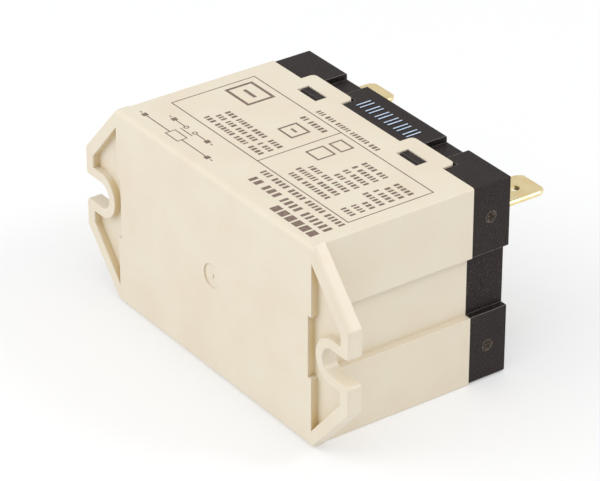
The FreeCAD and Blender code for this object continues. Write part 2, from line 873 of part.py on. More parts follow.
def bobbin_pins():
    """Coil pins that run straight on through the rectifier board."""
    start = -bobbin_half_width + pin_depth
    length = start - board_low_x + solder_tail
    return Part.makeCompound([rod(V(start, pin_y, z), -X_AXIS, pin_radius, length) for z in pin_zs])


# ---------------------------------------------------------------- barrier, board and wires

def barrier_outline(y0, y1):
    """U-shaped wall, open towards the near side of the case."""
    half = barrier_half_length
    plate = box(-half, half, y0, y1, barrier_high_z - barrier_thickness, barrier_high_z)
    wing = box(half - barrier_thickness, half, y0, y1, barrier_low_z, barrier_high_z)
    return plate.fuse(on_both_ends(wing)).removeSplitter()


def contact_barrier():
    return barrier_outline(barrier_top_y, floor_y + groove_depth)


def diode(y):
    """Axial diode with both leads bent through the board."""
    x = board_low_x - diode_stand_off - diode_radius
    body = rod(V(x, y, diode_z - diode_length / 2), Z_AXIS, diode_radius, diode_length)
    body = body.makeFillet(diode_radius / 5, body.Edges)
    reach = diode_length / 2 + diode_lead_reach
    tail_x = board_high_x + solder_tail
    leads = []
    for way in (-1, 1):
        start = V(x, y, diode_z + way * (diode_length / 2 - diode_lead_radius))
        corner = V(x, y, diode_z + way * reach)
        leads.append(pipe([start, corner, V(tail_x, y, corner.z)], diode_lead_radius, lead_bend))
    return body.fuse(leads)


def rectifier_diodes():
    return Part.makeCompound([diode(y) for y in diode_ys])


def rectifier_board():
    board = box(board_low_x, board_high_x, board_top_y, floor_y + groove_depth, board_low_z, board_high_z)
    reach = diode_length / 2 + diode_lead_reach
    places = [(y, diode_z + way * reach, diode_lead_radius) for y in diode_ys for way in (-1, 1)]
    places += [(pin_y, z, pin_radius) for z in pin_zs]
    places.append((lug_hole_y, left_lead_board_z, left_lead_radius))
    places.append((lug_hole_y, right_lead_board_z, right_lead_radius))
    return board.cut([rod(V(board_low_x, y, z), X_AXIS, radius, board_thickness) for y, z, radius in places])


def lead_left():
    """Bare wire from the left-hand coil terminal to the board."""
    x = -lug_hole_x
    start = V(x, lug_hole_y, strip_row_z + strip_half + lead_overhang)
    corner = V(x, lug_hole_y, left_lead_board_z)
    end = V(board_high_x + solder_tail, lug_hole_y, left_lead_board_z)
    return pipe([start, corner, end], left_lead_radius, lead_bend)


def lead_right():
    """Insulated wire from the right-hand coil terminal, behind the yoke, to the board."""
    points = [
        V(lug_hole_x, lug_hole_y, strip_row_z - strip_half - lead_overhang),
        V(lug_hole_x, lug_hole_y, right_lead_z),
        V(right_lead_turn_x, lug_hole_y, right_lead_z),
        V(right_lead_turn_x, lug_hole_y, right_lead_board_z),
        V(board_low_x - solder_tail, lug_hole_y, right_lead_board_z),
    ]
    return pipe(points, right_lead_radius, lead_bend)


PIECES = {
    "case": case(),
    "base": base(),
    "coil_terminal_left": coil_terminal(-1),
    "coil_terminal_right": coil_terminal(1),
    "contact_terminal_left": contact_terminal(-1),
    "contact_terminal_right": contact_terminal(1),
    "fixed_contacts": fixed_contacts(),
    "movable_contacts": movable_contacts(),
    "contact_bridge": contact_bridge(),
    "plunger": plunger(),
    "plunger_clip": plunger_clip(),
    "contact_spring": contact_spring(),
    "return_spring": return_spring(),
    "core": core(),
    "yoke": yoke(),
    "armature": armature(),
    "hinge_spring": hinge_spring(),
    "hinge_spring_rivets": hinge_spring_rivets(),
    "bobbin": bobbin(),
    "coil_winding": coil_winding(),
    "coil_tape": coil_tape(),
    "bobbin_pins": bobbin_pins(),
    "contact_barrier": contact_barrier(),
    "rectifier_board": rectifier_board(),
    "rectifier_diodes": rectifier_diodes(),
    "lead_left": lead_left(),
    "lead_right": lead_right(),
}

os.makedirs("parts", exist_ok=True)
for name, shape in PIECES.items():
    shape.exportStep(os.path.join("parts", name + ".step"))
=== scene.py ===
"""Looks of a flange-mounted power relay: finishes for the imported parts, and pieces only the eye needs.

Every length is in metres unless its name ends in _mm. X runs along the case, +Y from the mounting
face to the terminals, +Z out of the printed side.
"""
import math
import random

import bmesh
import bpy
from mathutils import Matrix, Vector


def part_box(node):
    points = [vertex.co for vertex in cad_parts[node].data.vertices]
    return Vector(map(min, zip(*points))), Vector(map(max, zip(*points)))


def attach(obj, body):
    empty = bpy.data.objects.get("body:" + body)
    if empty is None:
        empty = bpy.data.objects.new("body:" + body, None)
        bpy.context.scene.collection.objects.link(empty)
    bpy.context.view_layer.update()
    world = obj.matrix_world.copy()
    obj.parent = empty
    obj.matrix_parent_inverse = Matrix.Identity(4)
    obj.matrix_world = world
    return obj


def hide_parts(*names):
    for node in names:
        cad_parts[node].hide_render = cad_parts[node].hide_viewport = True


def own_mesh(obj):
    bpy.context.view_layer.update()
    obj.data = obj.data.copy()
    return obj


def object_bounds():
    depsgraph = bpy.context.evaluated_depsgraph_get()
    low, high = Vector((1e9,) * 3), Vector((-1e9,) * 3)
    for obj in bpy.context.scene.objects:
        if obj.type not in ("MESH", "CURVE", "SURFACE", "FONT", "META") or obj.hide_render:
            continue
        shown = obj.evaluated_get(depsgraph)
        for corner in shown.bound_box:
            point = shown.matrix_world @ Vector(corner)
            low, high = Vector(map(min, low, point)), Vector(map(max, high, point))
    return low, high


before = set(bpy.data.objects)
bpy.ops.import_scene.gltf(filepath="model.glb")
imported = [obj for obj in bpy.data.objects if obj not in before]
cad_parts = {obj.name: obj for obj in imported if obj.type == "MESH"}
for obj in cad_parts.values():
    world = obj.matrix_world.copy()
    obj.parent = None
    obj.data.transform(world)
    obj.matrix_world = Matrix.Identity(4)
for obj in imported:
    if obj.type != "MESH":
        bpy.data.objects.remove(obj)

MM = 0.001
CAD_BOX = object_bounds()
CAD_LOW, CAD_HIGH = CAD_BOX
SEED = 7

# Camera: the viewing angle, and where it aims, measured from the middle of the object
VIEW_AZIMUTH = 54.5
VIEW_ELEVATION = 29.8
VIEW_DISTANCE = 0.499
AIM_OFFSET = Vector((-0.0026, -0.0049, -0.0012))
SENSOR_MM = 36.0
LENS_MM = 199.1

# Heights of the plunger's shaft and the coil's axis
SHAFT_Z = -12.5 * MM
COIL_Z = 2.4 * MM

# Colours of the painted highlight on edges, by material
PLASTIC_EDGE_HIGHLIGHT = (1.0, 0.95, 0.88, 1.0)
METAL_EDGE_HIGHLIGHT = (1.0, 0.96, 0.85, 1.0)

# How much open space a point has round it: above the first it counts as open, and below the second it gets
# the full painted shade of a recess
OPEN_ABOVE = 0.56
HOLLOW_BELOW = 0.46


# ---------------------------------------------------------------- building materials

class Finish:
    """One procedural material, built up from a few kinds of node on the object's own coordinates."""

    def __init__(self, name):
        self.material = bpy.data.materials.new(name)
        self.material.use_nodes = True
        self.nodes = self.material.node_tree.nodes
        self.links = self.material.node_tree.links
        self.shader = self.nodes["Principled BSDF"]
        self.place = self.nodes.new("ShaderNodeTexCoord").outputs["Object"]
        self.relief = None

    def node(self, kind, inputs, **settings):
        """Adds a node, then feeds its inputs with numbers or other nodes' outputs."""
        made = self.nodes.new("ShaderNode" + kind)
        for key, value in settings.items():
            setattr(made, key, value)
        for key, value in inputs.items():
            self.feed(made.inputs[key], value)
        return made

    def feed(self, socket, value):
        if isinstance(value, bpy.types.NodeSocket):
            self.links.new(value, socket)
        else:
            socket.default_value = value

    def noise(self, size_mm, detail=2.0, stretch=(1, 1, 1)):
        """Soft noise from 0 to 1 in blotches of about this size; stretch lengthens them along an axis."""
        scaled = self.node("Mapping", {"Vector": self.place, "Scale": [1 / s for s in stretch]})
        inputs = {"Vector": scaled.outputs[0], "Scale": 1 / (size_mm * MM), "Detail": detail}
        return self.node("TexNoise", inputs).outputs[0]

    def between(self, value, low, high):
        """Stretches the part of a value that lies between two levels over 0 to 1."""
        made = self.node("MapRange", {"Value": value, "From Min": low, "From Max": high})
        return made.outputs[0]

    def math(self, operation, first, second):
        return self.node("Math", {0: first, 1: second}, operation=operation).outputs[0]

    def mix(self, share, first, second):
        """Colour between two colours."""
        made = self.node("Mix", {0: share}, data_type="RGBA")
        self.feed(made.inputs[6], first)
        self.feed(made.inputs[7], second)
        return made.outputs[2]

    def painted_hollow_shade(self, reach_mm, pale_ledges):
        """Share of painted shade by how far into a pocket a point lies, from 0 in the open to 1; ledges that
        look up may be left without it.
        """
        made = self.node("AmbientOcclusion", {"Distance": reach_mm * MM}, samples=8, only_local=True)
        share = self.between(made.outputs["AO"], OPEN_ABOVE, HOLLOW_BELOW)
        if pale_ledges:
            normal = self.node("NewGeometry", {}).outputs["Normal"]
            upwards = self.node("SeparateXYZ", {0: normal}).outputs[2]
            share = self.math("MULTIPLY", share, self.between(upwards, 0.95, 0.8))
        return share

    def round_edges(self, radius_mm):
        """Rounds the shading of every edge by a small radius, and returns how near an edge a point is."""
        made = self.node("Bevel", {"Radius": radius_mm * MM}, samples=6)
        self.relief = made.outputs[0]
        flat = self.node("NewGeometry", {}).outputs["Normal"]
        dot = self.node("VectorMath", {0: self.relief, 1: flat}, operation="DOT_PRODUCT")
        return self.between(dot.outputs["Value"], 0.995, 0.8)

    def bump(self, height, depth_mm):
        """Raises the surface by a height from 0 to 1 times a depth."""
        inputs = {"Height": height, "Distance": depth_mm * MM, "Strength": 1.0}
        if self.relief:
            inputs["Normal"] = self.relief
        self.relief = self.node("Bump", inputs).outputs[0]

    def done(self, colour, roughness, metallic=0.0, more=None):
        """Joins everything to the shader; more holds further shader inputs by name."""
        values = {"Base Color": colour, "Roughness": roughness, "Metallic": metallic}
        values.update(more or {})
        for key, value in values.items():
            self.feed(self.shader.inputs[key], value)
        if self.relief:
            self.links.new(self.relief, self.shader.inputs["Normal"])
        return self.material


def srgb(red, green, blue):
    """Linear colour from ordinary 0 to 255 values."""
    def linear(level):
        share = level / 255
        return share / 12.92 if share <= 0.04045 else ((share + 0.055) / 1.055) ** 2.4
    return (linear(red), linear(green), linear(blue), 1.0)


def moulded(name, colour, warm, hollow_shade_colour, roughness, edge_highlight=0.3, pale_ledges=False):
    """Satin moulded plastic: fine grain, faint flow clouds and scuffs, with a painted highlight on open edges
    and painted shade in recesses.
    """
    f = Finish(name)
    edge = f.round_edges(0.18)
    clouds = f.noise(9.0, 3.0)
    hollow_shade_share = f.painted_hollow_shade(6.0, pale_ledges)
    tone = f.mix(f.between(clouds, 0.35, 0.65), colour, warm)
    # Painted shade: recesses are mixed towards a darker, warmer shade.
    tone = f.mix(hollow_shade_share, tone, hollow_shade_colour)
    # Painted highlight: edges out in the open are mixed towards a lighter colour.
    edge_highlight_share = f.math("MULTIPLY", edge, f.math("SUBTRACT", 1.0, hollow_shade_share))
    tone_with_highlight = f.mix(f.math("MULTIPLY", edge_highlight_share, edge_highlight), tone, PLASTIC_EDGE_HIGHLIGHT)
    f.bump(f.noise(0.15, 3.0), 0.006)
    f.bump(f.noise(2.5, 2.0), 0.01)
    scuff = f.between(f.noise(1.2, 5.0, (6, 1, 1)), 0.6, 0.75)
    rough = f.math("ADD", roughness, f.math("MULTIPLY", scuff, 0.1))
    return f, tone_with_highlight, rough


def cream_case():
    """Cream plastic with a few barely pink flow blotches, such as gates leave."""
    # The third shade is painted shade for recesses; the edge amount sets a painted highlight.
    shades = srgb(222, 213, 193), srgb(220, 208, 187), srgb(216, 195, 152)
    f, colour, rough = moulded("cream_case", *shades, roughness=0.34, edge_highlight=0.6, pale_ledges=True)
    blotch = f.between(f.noise(4.0, 4.0), 0.58, 0.8)
    colour = f.mix(f.math("MULTIPLY", blotch, 0.15), colour, srgb(230, 196, 170))
    return f.done(colour, rough)


def charcoal_base():
    """Glass-filled black plastic: its surface sparkles a little with fine paler specks."""
    # The third shade is painted shade for recesses.
    shades = srgb(37, 31, 30), srgb(41, 35, 33), srgb(5, 3, 3)
    f, colour, rough = moulded("charcoal_base", *shades, roughness=0.5)
    speck = f.between(f.noise(0.22, 2.0), 0.52, 0.75)
    colour = f.mix(f.math("MULTIPLY", speck, 0.3), colour, srgb(110, 98, 92))
    return f.done(colour, rough, 0.0, {"Specular IOR Level": 0.16})


def torn_plastic():
    """Broken-off gate stubs of the base: rough, mottled and browner than the moulded skin."""
    f = Finish("torn_plastic")
    tone = f.mix(f.between(f.noise(0.3, 3.0), 0.4, 0.62), srgb(20, 16, 14), srgb(96, 80, 66))
    f.bump(f.noise(0.12, 2.0), 0.02)
    return f.done(tone, 0.6)


def solder():
    f = Finish("solder")
    tone = f.mix(f.noise(0.5, 2.0), srgb(212, 212, 214), srgb(176, 176, 178))
    f.bump(f.noise(0.4, 1.0), 0.01)
    return f.done(tone, 0.22, 1.0)


def track_copper():
    f = Finish("track_copper")
    tone = f.mix(f.noise(0.8, 3.0), srgb(206, 140, 92), srgb(176, 110, 66))
    return f.done(tone, 0.35, 0.9)


def ivory_moulding():
    # The third shade is painted shade for recesses.
    shades = srgb(236, 228, 204), srgb(228, 216, 184), srgb(232, 206, 160)
    f, colour, rough = moulded("ivory_moulding", *shades, roughness=0.35)
    return f.done(colour, rough, 0.0, {"Subsurface Weight": 0.15, "Subsurface Scale": 0.6 * MM})


def bobbin_plastic():
    # The third shade is painted shade for recesses; the edge amount sets a painted highlight.
    shades = srgb(44, 66, 74), srgb(52, 74, 80), srgb(20, 30, 34)
    f, colour, rough = moulded("bobbin_plastic", *shades, roughness=0.4, edge_highlight=0.1)
    return f.done(colour, rough)


def metal(name, colour, stained, roughness, along=(12, 1, 1), edge_highlight=0.2):
    """Rolled or stamped metal: brushed grain along one axis, faint stains and a painted highlight on the
    edges.
    """
    f = Finish(name)
    edge = f.round_edges(0.06)
    stain = f.between(f.noise(2.2, 4.0), 0.4, 0.75)
    tone = f.mix(stain, colour, stained)
    # Painted highlight: edges are mixed towards a lighter colour.
    metal_tone_with_highlight = f.mix(f.math("MULTIPLY", edge, edge_highlight), tone, METAL_EDGE_HIGHLIGHT)
    grain = f.noise(0.06, 2.0, along)
    f.bump(grain, 0.002)
    rough = f.math("ADD", roughness, f.math("MULTIPLY", stain, 0.08))
    return f, metal_tone_with_highlight, rough


def brass_strip():
    shades = srgb(246, 228, 180), srgb(238, 214, 158)
    # The edge amount sets a painted highlight.
    f, colour, rough = metal("brass_strip", *shades, roughness=0.34, along=(1, 14, 1), edge_highlight=0.1)
    return f.done(colour, rough, 0.9)


def contact_silver():
    f, colour, rough = metal("contact_silver", srgb(225, 225, 220), srgb(190, 186, 178), 0.25, (1, 1, 1))
    return f.done(colour, rough, 1.0)


def copper_strip():
    f, colour, rough = metal("copper_strip", srgb(222, 150, 110), srgb(180, 105, 70), 0.25)
    return f.done(colour, rough, 1.0)


def spring_steel():
    f, colour, rough = metal("spring_steel", srgb(190, 190, 190), srgb(150, 146, 140), 0.2)
    return f.done(colour, rough, 1.0)


def plated_iron():
    f, colour, rough = metal("plated_iron", srgb(206, 206, 202), srgb(190, 189, 184), 0.32, (1, 10, 1))
    return f.done(colour, rough, 1.0)


def tinned_wire():
    f, colour, rough = metal("tinned_wire", srgb(205, 205, 205), srgb(170, 170, 172), 0.3, (1, 1, 1))
    return f.done(colour, rough, 1.0)


def enamelled_copper():
    f = Finish("enamelled_copper")
    tone = f.mix(f.noise(1.5, 4.0, (1, 6, 1)), srgb(168, 70, 32), srgb(200, 100, 52))
    f.bump(f.noise(0.1, 1.0), 0.004)
    return f.done(tone, 0.25, 0.85, {"Coat Weight": 0.6, "Coat Roughness": 0.12})


def coil_tape():
    f = Finish("coil_tape")
    tone = f.mix(f.noise(3.0, 3.0), srgb(226, 178, 40), srgb(206, 150, 26))
    f.bump(f.noise(1.2, 2.0), 0.02)
    return f.done(tone, 0.2, 0.0, {"Coat Weight": 0.4, "Coat Roughness": 0.08})


def board_laminate():
    """Woven glass laminate seen through its resin."""
    f = Finish("board_laminate")
    weave = f.node("TexBrick", {"Vector": f.place, "Scale": 1 / (1.2 * MM), "Mortar Size": 0.02})
    tone = f.mix(weave.outputs["Fac"], srgb(150, 124, 66), srgb(176, 150, 92))
    f.bump(f.noise(0.4, 2.0), 0.006)
    return f.done(tone, 0.4)


def diode_body():
    """Black epoxy with a painted cathode band near one end."""
    f = Finish("diode_body")
    low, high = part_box("rectifier_board")
    middle_z = (low.z + high.z) / 2
    height = f.node("SeparateXYZ", {0: f.place}).outputs[2]
    band_low, band_high = middle_z + 1.2 * MM, middle_z + 2.0 * MM
    start = f.math("GREATER_THAN", height, band_low)
    end = f.math("LESS_THAN", height, band_high)
    band = f.math("MULTIPLY", start, end)
    tone = f.mix(band, srgb(34, 34, 36), srgb(190, 190, 188))
    f.bump(f.noise(0.15, 2.0), 0.006)
    return f.done(tone, 0.45)


def wire_insulation():
    f = Finish("wire_insulation")
    tone = f.mix(f.noise(1.5, 2.0), srgb(40, 78, 150), srgb(52, 92, 164))
    f.bump(f.noise(0.3, 1.0), 0.006)
    return f.done(tone, 0.35)


def print_ink(name, colour, worn):
    """Pad-printed ink, a little thin in places."""
    f = Finish(name)
    tone = f.mix(f.between(f.noise(0.35, 3.0), 0.45, 0.7), colour, worn)
    return f.done(tone, 0.55)


def floor_paper():
    """White paper lit from below as well, which keeps the shadows on it faint."""
    f = Finish("floor_paper")
    tone = f.mix(f.noise(60.0, 2.0), (0.6, 0.603, 0.607, 1.0), (0.615, 0.617, 0.62, 1.0))
    return f.done(tone, 0.9, 0.0, {"Emission Color": (1.0, 1.0, 1.0, 1.0), "Emission Strength": 0.3})


# ---------------------------------------------------------------- building meshes

def piece(name, mesh, material, body):
    """Object that shows a mesh, wears a material and rides on a body."""
    obj = bpy.data.objects.new(name, mesh)
    bpy.context.scene.collection.objects.link(obj)
    mesh.materials.append(material)
    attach(obj, body)
    return obj


def add_block(bm, low, high):
    """Rectangular block between two corners."""
    corners = [(x, y, z) for x in (low[0], high[0]) for y in (low[1], high[1]) for z in (low[2], high[2])]
    verts = [bm.verts.new(c) for c in corners]
    for face in ((0, 1, 3, 2), (4, 6, 7, 5), (0, 4, 5, 1), (2, 3, 7, 6), (0, 2, 6, 4), (1, 5, 7, 3)):
        bm.faces.new([verts[i] for i in face])


def mesh_from(bm, name, smooth=False):
    bmesh.ops.recalc_face_normals(bm, faces=bm.faces)
    for face in bm.faces:
        face.smooth = smooth
    mesh = bpy.data.meshes.new(name)
    bm.to_mesh(mesh)
    bm.free()
    return mesh


def add_tube(bm, path, radius, sides=12):
    """Closed round tube along a path of points, with flat ends."""
    rings = []
    guide = Vector((0.31, 0.87, 0.39))  # any direction that no path here runs along
    for i, point in enumerate(path):
        ahead = path[min(i + 1, len(path) - 1)] - path[max(i - 1, 0)]
        ahead.normalize()
        side = (guide - ahead * guide.dot(ahead)).normalized()
        up = ahead.cross(side)
        guide = side
        turns = [2 * math.pi * k / sides for k in range(sides)]
        rings.append([bm.verts.new(point + (side * math.cos(t) + up * math.sin(t)) * radius) for t in turns])
    for near, far in zip(rings, rings[1:]):
        for k in range(sides):
            bm.faces.new((near[k], near[(k + 1) % sides], far[(k + 1) % sides], far[k]))
    bm.faces.new(rings[0])
    bm.faces.new(rings[-1])


def add_lathe(bm, profile, centre_z, steps=96):
    """Closed ring turned about the coil axis from (radius, y) points."""
    rings = []
    for k in range(steps):
        turn = 2 * math.pi * k / steps
        c, s = math.cos(turn), math.sin(turn)
        rings.append([bm.verts.new((r * c, y, centre_z + r * s)) for r, y in profile])
    count = len(profile)
    for k in range(steps):
        here, there = rings[k], rings[(k + 1) % steps]
        for i in range(count):
            j = (i + 1) % count
            bm.faces.new((here[i], here[j], there[j], there[i]))


# ---------------------------------------------------------------- springs and coil

SPRING_WIRE_RADIUS = 0.3 * MM
SPRING_RADIUS = 2.5 * MM
SPRING_TURNS = 7.0


def compression_spring(name, y0, y1, material, body):
    """Coil spring round the plunger's shaft, with a closed turn at each end."""
    low = y0 + SPRING_WIRE_RADIUS
    high = y1 - SPRING_WIRE_RADIUS
    closed_rise = 2 * SPRING_WIRE_RADIUS
    open_rise = high - low - 2 * closed_rise
    steps = int(SPRING_TURNS * 40)
    path = []
    for i in range(steps + 1):
        turn = SPRING_TURNS * i / steps
        if turn < 1:
            y = low + closed_rise * turn
        elif turn > SPRING_TURNS - 1:
            y = high - closed_rise * (SPRING_TURNS - turn)
        else:
            y = low + closed_rise + open_rise * (turn - 1) / (SPRING_TURNS - 2)
        angle = 2 * math.pi * turn
        path.append(Vector((SPRING_RADIUS * math.cos(angle), y, SHAFT_Z + SPRING_RADIUS * math.sin(angle))))
    bm = bmesh.new()
    add_tube(bm, path, SPRING_WIRE_RADIUS)
    return piece(name, mesh_from(bm, name, True), material, body)


def springs(material):
    """The two springs round the plunger, each standing for its plain CAD twin."""
    low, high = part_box("contact_spring")
    spring = compression_spring("contact_coil_spring", low.y, high.y, material, "plunger_carriage")
    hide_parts("contact_spring")
    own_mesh(spring)
    low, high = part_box("return_spring")
    spring = compression_spring("return_coil_spring", low.y, high.y, material, "base_frame")
    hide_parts("return_spring")
    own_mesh(spring)


def coil_turns(material):
    """Winding of fine wire: the outside shows the ridges of its last layer."""
    low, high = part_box("coil_winding")
    outer = (high.x - low.x) / 2
    inner = 4.45 * MM
    wire_pitch = 0.32 * MM
    count = int((high.y - low.y) / wire_pitch)
    pitch = (high.y - low.y) / count
    ridge = pitch * 0.35
    profile = [(inner, low.y)]
    for turn in range(count):
        for part in range(4):
            phase = (part + 0.5) / 4
            radius = outer - ridge + math.sin(math.pi * phase) * ridge
            profile.append((radius, low.y + (turn + phase) * pitch))
    profile.append((inner, high.y))
    bm = bmesh.new()
    add_lathe(bm, profile, COIL_Z)
    mesh = mesh_from(bm, "coil_wire_turns", True)
    made = piece("coil_wire_turns", mesh, material, "base_frame")
    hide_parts("coil_winding")


def coil_wrap(material):
    """Film tape wound round the coil, with the step where its end lies over the first turn."""
    low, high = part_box("coil_tape")
    outer = (high.x - low.x) / 2
    inner = outer - 0.2 * MM
    step = 0.06 * MM
    steps = 120
    start = math.radians(200)
    turns = 1.08
    bm = bmesh.new()
    rings = []
    for k in range(steps + 1):
        turn = start + 2 * math.pi * turns * k / steps
        c, s = math.cos(turn), math.sin(turn)
        sunk = step * (1 - k / steps)
        r0, r1 = inner - sunk, outer - sunk
        section = ((r0, low.y), (r1, low.y), (r1, high.y), (r0, high.y))
        rings.append([bm.verts.new((r * c, y, COIL_Z + r * s)) for r, y in section])
    for near, far in zip(rings, rings[1:]):
        for i in range(4):
            j = (i + 1) % 4
            bm.faces.new((near[i], near[j], far[j], far[i]))
    bm.faces.new(rings[0])
    bm.faces.new(rings[-1])
    made = piece("coil_tape_wrap", mesh_from(bm, "coil_tape_wrap"), material, "base_frame")
    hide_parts("coil_tape")


# ---------------------------------------------------------------- wiring details

LEAD_RADIUS = 0.35 * MM
PIN_RADIUS = 0.4 * MM
DIODE_RADIUS = 1.35 * MM
COIL_WIRE_RADIUS = 0.12 * MM
TRACK_HALF_WIDTH = 0.7 * MM

# Outline of a solder cone: how far it reaches past the lead, and its height over the board
SOLDER_MM = ((0.55, -0.02), (0.5, 0.06), (0.22, 0.2), (0.08, 0.42), (0.02, 0.6))

# Torn gate stub: radius of each ring, and the lowest and highest it may stand from the face
SCAR_MM = ((1.14, -0.06, -0.04), (1.0, -0.04, 0.05), (0.86, -0.05, 0.06),
           (0.7, -0.2, 0.03), (0.5, -0.34, -0.04), (0.25, -0.36, -0.1))
SCAR_BACK_MM = 0.42
SCAR_Y = 32.2 * MM
SCAR_Z = 10.9 * MM


def board_joints():
    """Places where a lead comes through the rectifier board: (side of the board, y, z, lead radius)."""
    low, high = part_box("rectifier_diodes")
    step = (high.y - low.y - 2 * DIODE_RADIUS) / 3
    places = []
    for k in range(4):
        for z in (low.z + LEAD_RADIUS, high.z - LEAD_RADIUS):
            places.append((1, low.y + DIODE_RADIUS + k * step, z, LEAD_RADIUS))
    low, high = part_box("bobbin_pins")
    for z in (low.z + PIN_RADIUS, high.z - PIN_RADIUS):
        places.append((-1, (low.y + high.y) / 2, z, PIN_RADIUS))
    return places


def solder_joints(material):
    """Concave cones of solder round every lead that comes through the board."""
    low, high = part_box("rectifier_board")
    steps = 24
    bm = bmesh.new()
    for way, y, z, radius in board_joints():
        face = high.x if way > 0 else low.x
        rings = []
        for past_lead_mm, height_mm in SOLDER_MM:
            reach = radius + past_lead_mm * MM
            x = face + way * height_mm * MM
            turns = [2 * math.pi * k / steps for k in range(steps)]
            rings.append([bm.verts.new((x, y + reach * math.cos(t), z + reach * math.sin(t))) for t in turns])
        for near, far in zip(rings, rings[1:]):
            for k in range(steps):
                bm.faces.new((near[k], near[(k + 1) % steps], far[(k + 1) % steps], far[k]))
        bm.faces.new(rings[0])
        bm.faces.new(rings[-1])
    piece("solder_joints", mesh_from(bm, "solder_joints", True), material, "base_frame")


def board_tracks(material):
    """Copper strips on the coil's side of the board that join the diodes' leads in pairs."""
    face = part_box("rectifier_board")[1].x
    places = [p for p in board_joints() if p[0] > 0]
    half = TRACK_HALF_WIDTH
    x0 = face - 0.02 * MM
    x1 = face + 0.035 * MM
    bm = bmesh.new()
    for first, second in ((0, 2), (4, 6), (3, 5), (1, 7)):
        y0, z0 = places[first][1:3]
        y1, z1 = places[second][1:3]
        add_block(bm, (x0, y0 - half, z0 - half), (x1, y1 + half, z1 + half))
    piece("board_tracks", mesh_from(bm, "board_tracks"), material, "base_frame")


def coil_wire_ends(material):
    """The two ends of the winding, each wrapped round its pin and led in under the bobbin's flange."""
    wrap = PIN_RADIUS + COIL_WIRE_RADIUS
    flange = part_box("bobbin")[0].x
    coil_low, coil_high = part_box("coil_winding")
    pins_low, pins_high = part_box("bobbin_pins")
    pin_y = (pins_low.y + pins_high.y) / 2
    bm = bmesh.new()
    for z, way in ((pins_low.z + PIN_RADIUS, -1), (pins_high.z - PIN_RADIUS, 1)):
        path = []
        turns = 4
        length = turns * 2.1 * COIL_WIRE_RADIUS
        steps = 24 * turns
        for k in range(steps + 1):
            turn = math.pi + 2 * math.pi * k / 24
            x = flange - 0.4 * MM - (steps - k) / steps * length
            path.append(Vector((x, pin_y + wrap * math.cos(turn), z + way * wrap * math.sin(turn))))
        path.append(Vector((flange - 0.3 * MM, coil_high.y - 0.4 * MM, z - way * 0.3 * MM)))
        path.append(Vector((coil_low.x - 0.2 * MM, coil_high.y - 0.5 * MM, COIL_Z + way * 1.2 * MM)))
        path.append(Vector((coil_low.x + 0.2 * MM, coil_high.y - 0.6 * MM, COIL_Z + way * 0.4 * MM)))
        add_tube(bm, path, COIL_WIRE_RADIUS, 8)
    mesh = mesh_from(bm, "coil_wire_ends", True)
    piece("coil_wire_ends", mesh, material, "base_frame")


def gate_scars(material):
    """Torn gate stubs in the four dimples on the ends of the base."""
    draw = random.Random(SEED)
    low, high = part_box("base")
    sectors = 22
    bm = bmesh.new()
    for side in (-1, 1):
        face = high.x if side > 0 else low.x
        for z in (-SCAR_Z, SCAR_Z):
            rings = []
            for radius_mm, lowest, highest in SCAR_MM:
                ring = []
                for k in range(sectors):
                    turn = 2 * math.pi * k / sectors
                    reach = radius_mm * MM * draw.uniform(0.94, 1.06)
                    x = face + side * draw.uniform(lowest, highest) * MM
                    y = SCAR_Y + reach * math.cos(turn)
                    ring.append(bm.verts.new((x, y, z + reach * math.sin(turn))))
                rings.append(ring)
            back_x = face - side * SCAR_BACK_MM * MM
            back = [bm.verts.new((back_x, v.co.y, v.co.z)) for v in rings[0]]
            for near, far in zip([back] + rings, rings):
                for k in range(sectors):
                    bm.faces.new((near[k], near[(k + 1) % sectors], far[(k + 1) % sectors], far[k]))
            bm.faces.new(back)
            bm.faces.new(rings[-1])
    piece("gate_scars", mesh_from(bm, "gate_scars"), material, "base_frame")


# ---------------------------------------------------------------- printing

INK_MM = 0.012
INK_SUNK_MM = 0.01
PRINT_LINE = 0.19

# The printing is laid out in millimetres from the middle of the mounting face.
# Frames round the table and in the place of marks: (x0, x1, y0, y1, line)
FRAMES = [
    (-22.2, 22.7, 8.2, 23.3, PRINT_LINE),
    (2.2, 5.2, 15.6, 18.6, 0.3),
    (2.2, 5.2, 19.8, 21.9, 0.3),
    (-6.0, -2.6, 16.4, 19.6, 0.35),
    (-20.8, -15.0, 17.2, 21.8, 0.5),
]
TABLE_DIVIDER_X = 0.33
DASHES = [(-5.0, -3.6, 17.8, 18.2), (-19.4, -16.4, 19.2, 19.8)]

# Row of bold squares near the corner: where it starts, the step, the width and the two heights
BOLD_ROW = (23.0, 1.75, 1.35, 1.45, 3.05)
BOLD_COUNT = 6

# Wiring sketch: tabs (x, y, side of the tick), the coil's frame, the two contact rings and the bridge
SKETCH_TABS = ((-4.8, 2.85, 1), (-21.4, 2.85, -1), (-8.8, 5.6, 1), (-17.6, 5.6, -1))
SKETCH_TAB_HALF = 0.45
SKETCH_COIL = (-14.7, -11.5, 2.1, 3.8)
SKETCH_RINGS = ((-12.1, 5.6), (-14.4, 5.6))
SKETCH_RING_RADIUS = 0.35
SKETCH_BRIDGE = (-14.7, -11.6, 4.77)

# Pairs of bars on the base: the first pair's place, the step, half the gap, half the line and the two heights
BAR_PAIRS = 6
BAR_START_X = 6.3
BAR_STEP = 2.3
BAR_HALF_GAP = 0.45
BAR_HALF_LINE = 0.12
BAR_LOW_Y, BAR_HIGH_Y = 30.5, 33.2


def add_ink_ring(bm, x, y, radius, line, low_z, high_z, steps=20):
    """Thin flat ring of ink, closed all round."""
    outline = ((radius - line / 2, low_z), (radius + line / 2, low_z), (radius + line / 2, high_z),
               (radius - line / 2, high_z))
    rings = []
    for k in range(steps):
        turn = 2 * math.pi * k / steps
        c, s = math.cos(turn), math.sin(turn)
        rings.append([bm.verts.new(((x + r * c) * MM, (y + r * s) * MM, z)) for r, z in outline])
    for k in range(steps):
        here, there = rings[k], rings[(k + 1) % steps]
        for i in range(4):
            j = (i + 1) % 4
            bm.faces.new((here[i], here[j], there[j], there[i]))


